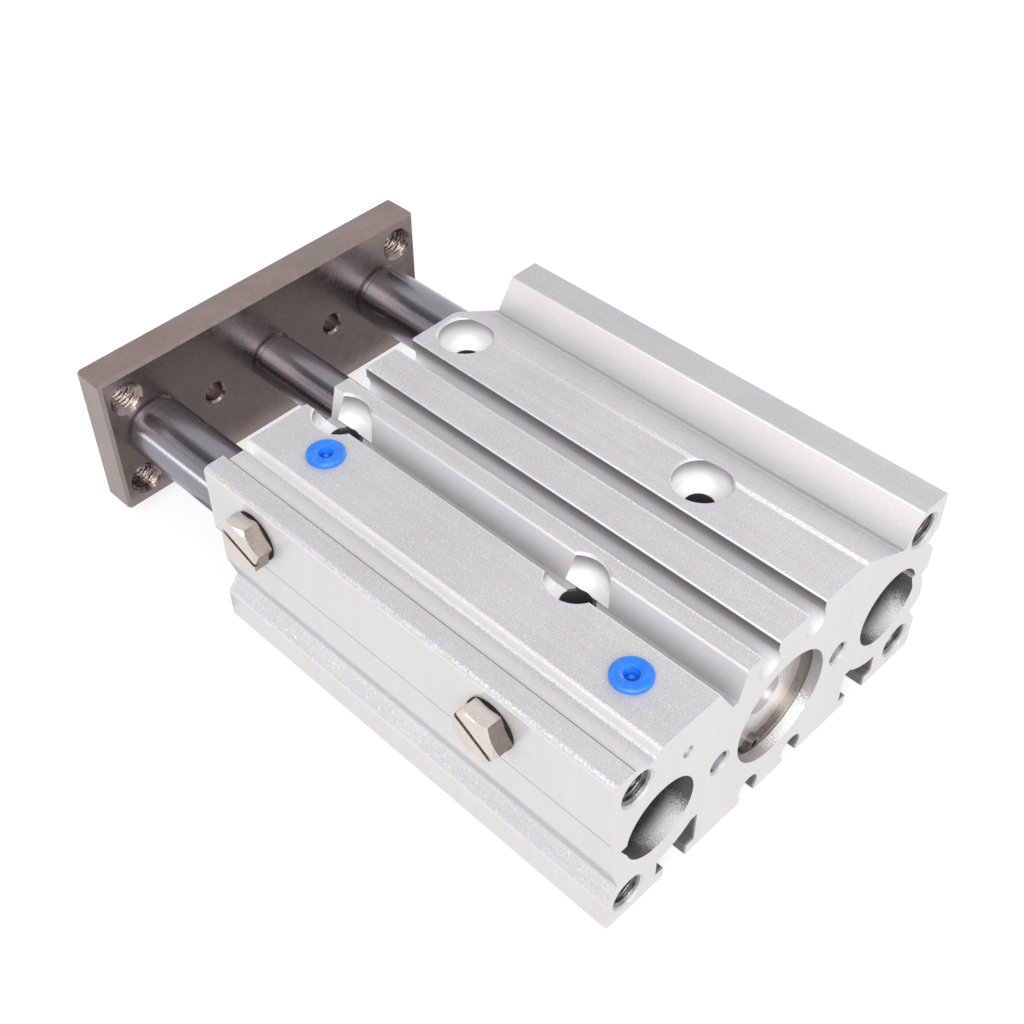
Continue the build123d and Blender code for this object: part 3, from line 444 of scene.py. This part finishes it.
class BodyShader(Shader):
    """Sand-blasted silver anodising, with milled end faces and counterbores, bores darkened by painted
    shade, and painted light and shade on its forms.
    Its masks are places on the extrusion, in the body's own coordinates."""

    def __init__(self):
        super().__init__("anodised_body")
        self.x, self.y, self.z = self.axes(self.place())
        self.nx, self.ny, self.nz = self.axes(self.facing())
        self.x_fold = self.size(self.x)
        self.y_size = self.size(self.y)
        self.depth = self.minus(TOP_Z, self.z)
        self.from_mouth = self.minus(ROD_Y, self.y_size)
        self.grain = self.noise(scale=4200.0, detail=2.0)
        self.sparkle = self.flecks(scale=2300.0, size=0.36, share=0.30)
        self.mark_holes()
        self.mark_faces()
        self.mark_forms()

    def mark_holes(self):
        z_from_axis = self.minus(self.z, AXIS_Z)
        on_wall = self.below(self.size(self.ny), WALL_FACING)
        guide = self.disc(self.minus(self.x_fold, GUIDE_X), z_from_axis, VENT_REACH)
        self.guide_bore = self.times(guide, on_wall)
        dowel = self.disc(self.minus(self.x_fold, DOWEL_X), z_from_axis, DOWEL_RADIUS + REACH)
        self.dowel_hole = self.times(dowel, on_wall)
        self.piston_bore = self.times(self.disc(self.x, z_from_axis, ENTRY_REACH), on_wall)

        mount_x = self.minus(self.x_fold, MOUNT_X)
        mount_y = self.minus(self.off(self.y, MOUNT_MIDDLE_Y), MOUNT_HALF_Y)
        floor_z = TOP_Z - COUNTERBORE_DEPTH - REACH
        wide = self.disc(mount_x, mount_y, COUNTERBORE_RADIUS + WALL_REACH)
        self.counterbore = self.times(wide, self.between(self.z, floor_z, TOP_Z - FACE_GAP))
        narrow = self.disc(mount_x, mount_y, THROUGH_RADIUS)
        self.through_hole = self.times(narrow, self.below(self.z, floor_z))

    def mark_faces(self):
        facing_out = self.above(self.size(self.ny), END_FACING)
        end_face = self.times(facing_out, self.above(self.y_size, ROD_Y - END_GAP))
        at_side = self.below(self.x, BODY_LOW.x + SIDE_WALL_REACH)
        self.side_wall = self.times(self.below(self.nx, -WALL_FACING), at_side)
        self.smooth = self.either(end_face, self.counterbore, self.piston_bore, self.side_wall)

    def mark_forms(self):
        self.near_groove = self.below(self.off(self.x_fold, GROOVE_X), GROOVE_HALF_WIDTH)
        groove_depth = self.between(self.depth, GROOVE_MOUTH_DEPTH, GROOVE_DEPTH + REACH)
        self.in_groove = self.times(self.near_groove, groove_depth)
        vee_depth = self.between(self.depth, REACH, VEE_DEPTH + REACH)
        self.in_vee = self.times(self.between(self.x, VEE_LEFT_X, VEE_RIGHT_X), vee_depth)
        wall_depth = self.between(self.depth, VALLEY_TOP_DEPTH, VALLEY_DEPTH + REACH)
        self.valley_wall = self.times(self.between(self.x, VALLEY_LINE_X, RIB_EDGE_X), wall_depth)
        self.above_step = self.below(self.depth, STEP_DEPTH)

    def blasted(self):
        """The blasted faces: mottled, with dull flecks, shinier grains carrying painted glints, and
        painted shade and light for each form.
        """
        cloud = self.noise(scale=90.0)
        drawn = self.noise(scale=1.0, vector=self.stretched(DRAWN))
        tone = self.blend(0.35, self.grain, self.blend(0.5, cloud, drawn))
        colour = self.mix(self.spread(tone, 0.35, 0.65), BLAST_DARK, BLAST_LIGHT)
        dull = self.flecks(scale=1900.0, size=0.36, share=0.5)
        colour = self.paint(colour, DULL_FLECK, dull, strength=0.22)
        colour = self.paint(colour, FLECK_GLINT, self.sparkle, strength=0.50)
        colour = self.shaded_forms(colour)
        colour = self.paint(colour, LIT_EDGE, self.lit_edges())
        return self.shaded_steps(colour)

    def shaded_forms(self, colour):
        # Grooves: painted shade below the mouth, painted light deeper down
        down_groove = self.spread(self.depth, SHADE_DEPTH, GROOVE_LIGHT_DEPTH)
        colour = self.paint(colour, self.mix(down_groove, GROOVE_SHADED_MOUTH, GROOVE_LIT_FOOT), self.in_groove)
        # Vee: painted light high on its walls, painted shade towards its foot
        down_vee = self.spread(self.depth, SHADE_DEPTH, VEE_DEPTH)
        colour = self.paint(colour, self.mix(down_vee, VEE_LIT_TOP, VEE_SHADED_FOOT), self.in_vee, strength=0.7)
        # Painted light on the slope up from the channel
        band = self.line(self.x, (BAND_LOW_X + BAND_HIGH_X) / 2, (BAND_HIGH_X - BAND_LOW_X) / 2)
        colour = self.paint(colour, BAND, self.times(band, self.above_step), strength=0.55)
        # Valley wall: painted shade at its foot, painted light at its crest
        up_wall = self.spread(self.x, VALLEY_DARK_X, VALLEY_LIGHT_X)
        valley_shading = self.mix(up_wall, VALLEY_SHADED_FOOT, VALLEY_LIT_CREST)
        colour = self.paint(colour, valley_shading, self.valley_wall, strength=0.65)
        # Painted shade on the rib's top
        rib_top = self.times(self.above(self.x, RIB_EDGE_X + RIB_CHAMFER), self.below(self.depth, REACH))
        return self.paint(colour, RIB_TOP_SHADE, rib_top, strength=0.30)

    def lit_edges(self):
        """Painted highlights: thin bright lines along the edges, crumbling and stronger towards the head
        end.
        """
        near_top = self.below(self.depth, EDGE_DEPTH)
        crumble = self.spread(self.noise(scale=3600.0, detail=2.0), *SHARP_BAND)
        to_head = self.spread(self.y, EDGE_DIM_Y, EDGE_FULL_Y, EDGE_DIM, 1.0)
        crisp = self.times(self.lines(self.x, CRISP_EDGES, CRISP_HALF_WIDTH), near_top, to_head)
        bright = self.times(self.lines(self.x, BRIGHT_EDGES, BRIGHT_HALF_WIDTH), crumble,
                            self.above_step, to_head)
        fade = self.spread(self.y, SHOULDER_START_Y, SHOULDER_FULL_Y)
        shoulder = self.times(self.line(self.x, SHOULDER_LINE_X, SHOULDER_HALF_WIDTH), fade, near_top,
                              self.spread(crumble, SHOULDER_CRUMBLE, 1.0))
        valley_line = self.times(self.line(self.x, VALLEY_LINE_X, VALLEY_LINE_HALF_WIDTH),
                                 self.spread(crumble, VALLEY_LINE_CRUMBLE, 1.0))
        return self.either(self.times(crisp, CRISP_STRENGTH), self.times(bright, BRIGHT_STRENGTH),
                           self.times(shoulder, SHOULDER_STRENGTH),
                           self.times(valley_line, VALLEY_LINE_STRENGTH))

    def shaded_steps(self, colour):
        """Painted light on the channel along the ports, the painted shadow line of its step, and painted
        shade in the slots below.
        """
        across = self.times(self.spread(self.x, BAND_LOW_X, STEP_X), self.above(self.x, STEP_X))
        channel = self.times(across, self.between(self.depth, EDGE_DEPTH, STEP_DEPTH))
        colour = self.paint(colour, CHANNEL_LIGHT, channel, strength=0.7)
        # Painted shadow line at the step
        step = self.times(self.line(self.x, STEP_X, STEP_HALF_WIDTH), self.above_step)
        colour = self.paint(colour, STEP_SHADOW, step, strength=0.8)
        # Painted shade inside the slots and grooves below, deepening away from the ends
        near_slot = self.below(self.off(self.x_fold, TSLOT_X), TSLOT_HALF_WIDTH)
        slot_shade = self.times(self.either(near_slot, self.near_groove),
                               self.between(self.z, FACE_GAP, UNDERSIDE_HEIGHT),
                               self.spread(self.from_mouth, UNDERSIDE_START, UNDERSIDE_FULL))
        return self.paint(colour, SLOT_SHADE, slot_shade, strength=0.82)

    def milled(self):
        """The smooth faces, with painted shade and light on the counterbores' walls, a painted highlight
        on their rims, and the side wall's painted shadow line.
        """
        tool_marks = self.noise(scale=1.0, detail=2.0, vector=self.stretched(CUTTER))
        colour = self.mix(tool_marks, MILLED_DARK, MILLED_LIGHT)
        # Counterbores: painted shade high on the wall, painted light at its foot, painted highlight on
        # the rim
        down_wall = self.spread(self.depth, RIM_SHADE_DEPTH, RIM_LIGHT_DEPTH)
        wall_shading = self.mix(down_wall, COUNTERBORE_SHADED_TOP, COUNTERBORE_LIT_FOOT)
        colour = self.paint(colour, wall_shading, self.counterbore)
        rim = self.times(self.counterbore, self.below(self.depth, RIM_DEPTH))
        colour = self.paint(colour, COUNTERBORE_RIM_HIGHLIGHT, rim)
        # Painted shadow line under the port wall's step
        port_shadow = self.times(self.line(self.z, PORT_WALL_Z, PORT_LINE_HALF_WIDTH), self.side_wall)
        return self.paint(colour, PORT_SHADOW_LINE, port_shadow, strength=0.75)

    def bored(self, colour):
        """The bores darkened by painted shade, with painted light low in their mouths, and painted shade
        in the small holes.
        """
        glitter = self.spread(self.noise(scale=5200.0, detail=2.0), *SHARP_BAND)
        lit_side = self.plus(self.times(self.nx, LIT_WALL_X), self.times(self.nz, LIT_WALL_Z),
                             self.times(self.minus(glitter, 0.5), GLITTER_WEIGHT))
        near_mouth = self.spread(self.from_mouth, MOUTH_LIGHT_START, MOUTH_LIGHT_FULL)

        # Guide bores: mottled painted shade, lighter near the mouth, with a painted lit patch on the lit
        # side
        shade_mottle = self.noise(scale=700.0, detail=4.0, roughness=0.7)
        raw = self.mix(self.spread(shade_mottle, 0.35, 0.7), BORE_DEEP_SHADE, BORE_PALE_SHADE)
        raw = self.paint(raw, BORE_MOUTH_LIGHT, near_mouth, strength=0.35)
        raw = self.paint(raw, BORE_LIT_PATCH, self.times(self.spread(lit_side, 0.70, 1.02), near_mouth))
        colour = self.paint(colour, raw, self.guide_bore)

        # Piston bore entry: painted shade and light by facing, and a painted highlight on its lit side
        entry = self.mix(self.spread(self.nz, 0.0, 0.9), ENTRY_SHADED_SIDE, ENTRY_LIT_FOOT)
        entry = self.paint(entry, ENTRY_HIGHLIGHT, self.spread(lit_side, 0.80, 1.0))
        colour = self.paint(colour, entry, self.piston_bore)

        # Painted shade in the dowel holes, except on their lit side, and in the through holes
        dowel_shade = self.times(self.dowel_hole, self.spread(lit_side, 0.85, 0.35))
        return self.paint(colour, HOLE_SHADE, self.either(dowel_shade, self.through_hole), strength=0.9)

    def roughness(self):
        plain = self.either(self.smooth, self.valley_wall, self.in_groove, self.in_vee)
        blasted = self.spread(self.grain, 0.2, 0.8, BLAST_SMOOTHEST, BLAST_ROUGHEST)
        rough = self.blend(self.smooth, blasted, MILLED_ROUGHNESS)
        rough = self.blend(self.times(self.sparkle, self.minus(1.0, plain)), rough, FLECK_ROUGHNESS)
        rough = self.blend(self.counterbore, rough, COUNTERBORE_ROUGHNESS)
        return self.blend(self.guide_bore, rough, BORE_ROUGHNESS)


def body_material():
    s = BodyShader()
    colour = s.bored(s.mix(s.smooth, s.blasted(), s.milled()))
    s.set(Base_Color=colour, Roughness=s.roughness(),
          Metallic=s.blend(s.counterbore, BODY_METALLIC, COUNTERBORE_METALLIC),
          Normal=s.bump(s.grain, BLAST_GRAIN_DEPTH, strength=0.5))
    return s.material


def metal_material(name, dark, light, rough, scale, grain=TURNED, metallic=1.0, bump=0.1,
                   ground=0.0, drift=0.2):
    """Bare or plated metal whose tone and gloss drift along a stretched noise. A ground
    surface, polished round an axis along Y, smears its reflections along that axis."""
    s = Shader(name, Metallic=metallic, Anisotropic=ground, Anisotropic_Rotation=0.25)
    if ground:
        tangent = s.node("ShaderNodeTangent", direction_type="RADIAL", axis="Y")
        s.set(Tangent=tangent.outputs["Tangent"])
    along = s.stretched(tuple(scale * share for share in grain))
    pattern = s.noise(scale=1.0, detail=4.0, roughness=0.6, vector=along)
    tone = s.spread(s.blend(0.5, pattern, s.noise(scale=160.0, detail=2.0)), *TONE_BAND)
    gloss = s.spread(pattern, *GLOSS_BAND, rough * (1 - drift), rough * (1 + drift))
    s.set(Base_Color=s.mix(tone, dark, light), Roughness=gloss,
          Normal=s.bump(pattern, SKIN_DEPTH, bump))
    return s.material


def nickel_shader(name, scale, dark, light, smoothest, roughest):
    """Nickel plating, faintly mottled, and its colour, which is not yet on the shader."""
    s = Shader(name, Metallic=1.0)
    pattern = s.noise(scale, detail=4.0, roughness=0.6)
    tone = s.spread(s.blend(0.5, pattern, s.noise(scale=160.0, detail=2.0)), *TONE_BAND)
    s.set(Roughness=s.spread(pattern, *GLOSS_BAND, smoothest, roughest),
          Normal=s.bump(pattern, SKIN_DEPTH, 0.05))
    return s, s.mix(tone, dark, light)


def plug_material():
    """Hexagon plug: its front is plain, and the flanks towards the head carry a painted dark reflection.
    """
    s, colour = nickel_shader("plug_nickel", 1800.0, dark=(0.60, 0.53, 0.495), light=(0.72, 0.65, 0.61),
                              smoothest=0.20, roughest=0.30)
    ny = s.axes(s.facing())[1]
    flank = s.spread(ny, -0.45, -0.70)
    s.set(Base_Color=s.paint(colour, PLUG_FLANK_REFLECTION, flank, strength=0.62))
    return s.material


def plate_material():
    """Steel plate, slightly pink, its small corner chamfers painted dark so they are no brighter than its
    faces.
    """
    s, colour = nickel_shader("plate_steel", 700.0, dark=(0.250, 0.202, 0.188),
                              light=(0.300, 0.244, 0.228), smoothest=0.24, roughest=0.32)
    nx, ny, nz = s.axes(s.facing())
    corner = s.math("MINIMUM", s.math("MINIMUM", s.times(nx, -1.0), s.times(ny, -1.0)), nz)
    s.set(Base_Color=s.paint(colour, PLATE_CORNER_SHADE, s.above(corner, 0.3)))
    return s.material


def soft_material(name, dark, light, rough, subsurface=0.0, shine=0.5):
    """Rubber or moulded plastic with a faint mottling and orange-peel skin."""
    s = Shader(name, Subsurface_Weight=subsurface, Subsurface_Scale=0.6 * MM, Specular_IOR_Level=shine)
    peel = s.noise(scale=4000.0, detail=2.0)
    tone = s.spread(s.noise(scale=900.0), *TONE_BAND)
    s.set(Base_Color=s.mix(tone, dark, light),
          Roughness=s.spread(peel, *TONE_BAND, rough * 0.85, rough * 1.15),
          Normal=s.bump(peel, SKIN_DEPTH, 0.3))
    return s.material


def make_materials():
    """The material of each slot in the record."""
    materials = {name: metal_material(name, **look) for name, look in METALS.items()}
    for name, look in SOFTS.items():
        materials[name] = soft_material(name, **look)
    materials["anodised_body"] = body_material()
    materials["plate_steel"] = plate_material()
    materials["plug_nickel"] = plug_material()
    return materials


def dress_cad(materials):
    """Gives each CAD node the material of its slot in the record."""
    for part in frame["record"]["subparts"]:
        node = frame["nodes"][part["node"]]
        node.data.materials.clear()
        node.data.materials.append(materials[part["material_slot"]])


def placed(name, data):
    """A new object round this mesh, lamp or camera, in the scene."""
    thing = bpy.data.objects.new(name, data)
    bpy.context.scene.collection.objects.link(thing)
    return thing


def thread_radius(turns):
    """Radius of a 60 degree thread: whole turns are at a root, half ones at a flat crest."""
    share = abs((turns % 1.0) - 0.5) * 2.0
    rise = (share - THREAD_CREST_SHARE) / THREAD_FLANK_SHARE
    return THREAD_MINOR + (THREAD_MAJOR - THREAD_MINOR) * min(1.0, max(0.0, rise))


def ring_points(depth, radius_at):
    """Points round the hole's axis at one depth. radius_at takes the share of a turn."""
    points = []
    for step in range(THREAD_STEPS_ROUND):
        angle = 2 * math.pi * step / THREAD_STEPS_ROUND
        radius = radius_at(step / THREAD_STEPS_ROUND)
        points.append((radius * math.cos(angle), radius * math.sin(angle), depth))
    return points


def thread_sleeve(name, mouth, axis, length, body, material):
    """The ridges of an internal thread, as a closed skin on the wall of a drilled hole.
    mouth is the middle of the hole's mouth, and axis points into the hole."""
    rows = int(length / THREAD_PITCH * THREAD_STEPS_PER_TURN)
    points = []
    for row in range(rows + 1):
        depth = THREAD_ENTRY + (length - 2 * THREAD_ENTRY) * row / rows
        chamfer = THREAD_MAJOR + THREAD_ENTRY - min(depth, length - depth)
        turns = depth / THREAD_PITCH
        points += ring_points(depth, lambda turn: max(thread_radius(turns - turn), chamfer))
    for depth in (THREAD_ENTRY, length - THREAD_ENTRY):
        points += ring_points(depth, lambda turn: THREAD_MAJOR + THREAD_SKIN)

    count = THREAD_STEPS_ROUND
    last = rows * count
    first_outer = last + count
    last_outer = first_outer + count
    faces = []
    for step in range(count):
        after = (step + 1) % count
        for low in range(0, last, count):
            high = low + count
            faces.append((low + step, high + step, high + after, low + after))
        faces.append((step, after, first_outer + after, first_outer + step))
        faces.append((last + after, last + step, last_outer + step, last_outer + after))
        faces.append((first_outer + step, first_outer + after, last_outer + after, last_outer + step))

    to_axis = Vector((0, 0, 1)).rotation_difference(Vector(axis)).to_matrix().to_4x4()
    mesh = bpy.data.meshes.new(name)
    mesh.from_pydata([to_axis @ Vector(point) + Vector(mouth) for point in points], [], faces)
    mesh.validate()
    mesh.materials.append(material)
    piece = placed(name, mesh)
    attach(piece, body)


def make_threads():
    """The threads of the plate's four holes, the head face's four and the base's four."""
    steel, light = [metal_material(name, **look) for name, look in THREADS.items()]
    plate_depth = PLATE_HIGH.y - PLATE_LOW.y
    for side, x in (("left", -1), ("right", 1)):
        for level, z in (("low", -1), ("high", 1)):
            plate_mouth = (x * PLATE_THREAD_X, PLATE_LOW.y, AXIS_Z + z * PLATE_THREAD_Z)
            thread_sleeve(f"plate_thread_{side}_{level}", plate_mouth, (0, 1, 0), plate_depth,
                          "moving_plate", steel)
            head_mouth = (x * HEAD_THREAD_X, HEAD_Y, AXIS_Z + z * HEAD_THREAD_Z)
            thread_sleeve(f"head_thread_{side}_{level}", head_mouth, (0, 1, 0), HEAD_THREAD_DEPTH,
                          "cylinder", light)
            base_mouth = (x * MOUNT_X, MOUNT_MIDDLE_Y + z * MOUNT_HALF_Y, 0)
            thread_sleeve(f"base_thread_{side}_{level}", base_mouth, (0, 0, 1), BASE_THREAD_DEPTH,
                          "cylinder", light)


def white_to_camera(tree, plain, shine):
    """Strength that is shine for camera, mirror and glass rays, and plain for the rest."""
    path = tree.nodes.new("ShaderNodeLightPath")
    seen = path.outputs["Is Camera Ray"]
    for ray in ("Is Glossy Ray", "Is Transmission Ray"):
        made = tree.nodes.new("ShaderNodeMath")
        made.operation = "MAXIMUM"
        tree.links.new(seen, made.inputs[0])
        tree.links.new(path.outputs[ray], made.inputs[1])
        seen = made.outputs[0]
    span = tree.nodes.new("ShaderNodeMapRange")
    tree.links.new(seen, span.inputs["Value"])
    span.inputs["To Min"].default_value = plain
    span.inputs["To Max"].default_value = shine
    return span.outputs["Result"]


def rectangle(name, width, height):
    """A flat panel round its own origin, facing along Z."""
    x, y = width / 2, height / 2
    mesh = bpy.data.meshes.new(name)
    mesh.from_pydata([(-x, -y, 0), (x, -y, 0), (x, y, 0), (-x, y, 0)], [], [(0, 1, 2, 3)])
    return placed(name, mesh)


def make_floor():
    floor = rectangle("floor", FLOOR_SIZE, FLOOR_SIZE)
    floor.location.z = -FLOOR_DROP
    material, tree, output = bare_material("floor")
    matt = tree.nodes.new("ShaderNodeBsdfDiffuse")
    matt.inputs["Color"].default_value = (FLOOR_SHADE, FLOOR_SHADE, FLOOR_SHADE, 1)
    glow = tree.nodes.new("ShaderNodeEmission")
    tree.links.new(white_to_camera(tree, 0.0, FLOOR_GLOW), glow.inputs["Strength"])
    both = tree.nodes.new("ShaderNodeAddShader")
    tree.links.new(matt.outputs[0], both.inputs[0])
    tree.links.new(glow.outputs[0], both.inputs[1])
    tree.links.new(both.outputs[0], output.inputs["Surface"])
    floor.data.materials.append(material)


def make_world():
    world = bpy.data.worlds.new("studio")
    world.use_nodes = True
    tree = world.node_tree
    background = tree.nodes["Background"]
    background.inputs["Color"].default_value = (1, 1, 1, 1)
    tree.links.new(white_to_camera(tree, WORLD_LIGHT, 1.0), background.inputs["Strength"])
    bpy.context.scene.world = world


def point_at(thing, place, target):
    """Puts a lamp or card at its place, with its face to the target."""
    thing.location = place
    aim = Vector(target) - Vector(place)
    thing.rotation_mode = "QUATERNION"
    thing.rotation_quaternion = aim.to_track_quat("-Z", "Y")


def card(name, place, target, size, shade):
    """Panel that only reflections see, as a photographer hangs one round bright metal.
    Dark ones hold a face back and bright ones lay a streak on it."""
    panel = rectangle(name, *size)
    point_at(panel, place, target)
    material, tree, output = bare_material(name)
    glow = tree.nodes.new("ShaderNodeEmission")
    glow.inputs["Strength"].default_value = shade
    tree.links.new(glow.outputs[0], output.inputs["Surface"])
    panel.data.materials.append(material)
    panel.visible_camera = False
    panel.visible_diffuse = False
    panel.visible_shadow = False
    panel.visible_transmission = False


def make_cards():
    over_gap = (GAP_MIDDLE[0], GAP_MIDDLE[1], 1.0)
    card("upper_card", (-0.19, 0.31, 0.40), RODS_MIDDLE, (0.42, 0.34), 0.16)
    card("streak_card", (-0.20, 0.286, 0.27), RODS_MIDDLE, (0.022, 0.14), 2.4)
    card("gap_card", GAP_MIDDLE, over_gap, (0.097, 0.022), 0.42)
    card("front_card", (-0.24, -0.30, 0.34), RODS_MIDDLE, (0.10, 0.22), 6.5)


def area_light(name, place, size, power):
    data = bpy.data.lights.new(name, "AREA")
    data.shape = "RECTANGLE"
    data.size, data.size_y = size
    data.energy = power
    point_at(placed(name, data), place, BODY_MIDDLE)


def make_lights():
    area_light("left_key", (-0.58, -0.33, 0.52), (0.50, 0.50), 3.9)
    area_light("head_key", (-0.10, -0.68, 0.40), (0.50, 0.50), 2.1)
    area_light("far_fill", (0.70, 0.05, 0.30), (0.12, 0.50), 1.2)
    area_light("rod_strip", (-0.60, 0.36, 0.07), (0.30, 0.10), 0.5)


def make_camera():
    data = bpy.data.cameras.new("camera")
    data.sensor_width = SENSOR_WIDTH
    data.lens = CAMERA_FOCAL * SENSOR_WIDTH / FRAME_PIXELS
    data.shift_x = (FRAME_PIXELS / 2 - CAMERA_CENTRE[0]) / FRAME_PIXELS
    data.shift_y = (CAMERA_CENTRE[1] - FRAME_PIXELS / 2) / FRAME_PIXELS
    data.clip_start = 0.01
    data.clip_end = 10.0
    azimuth = math.radians(CAMERA_AZIMUTH)
    elevation = math.radians(CAMERA_ELEVATION)
    roll = math.radians(CAMERA_ROLL)
    back = Vector((math.sin(azimuth) * math.cos(elevation),
                   -math.cos(azimuth) * math.cos(elevation),
                   math.sin(elevation)))
    level = (-back).cross(Vector((0, 0, 1))).normalized()
    upward = level.cross(-back)
    right = math.cos(roll) * level + math.sin(roll) * upward
    up = math.cos(roll) * upward - math.sin(roll) * level
    camera = placed("camera", data)
    camera.matrix_world = Matrix((right, up, back)).transposed().to_4x4()
    camera.location = CAMERA_PLACE
    bpy.context.scene.camera = camera


bpy.context.scene.view_settings.view_transform = "Standard"
dress_cad(make_materials())
make_threads()
make_floor()
make_world()
make_lights()
make_cards()
make_camera()
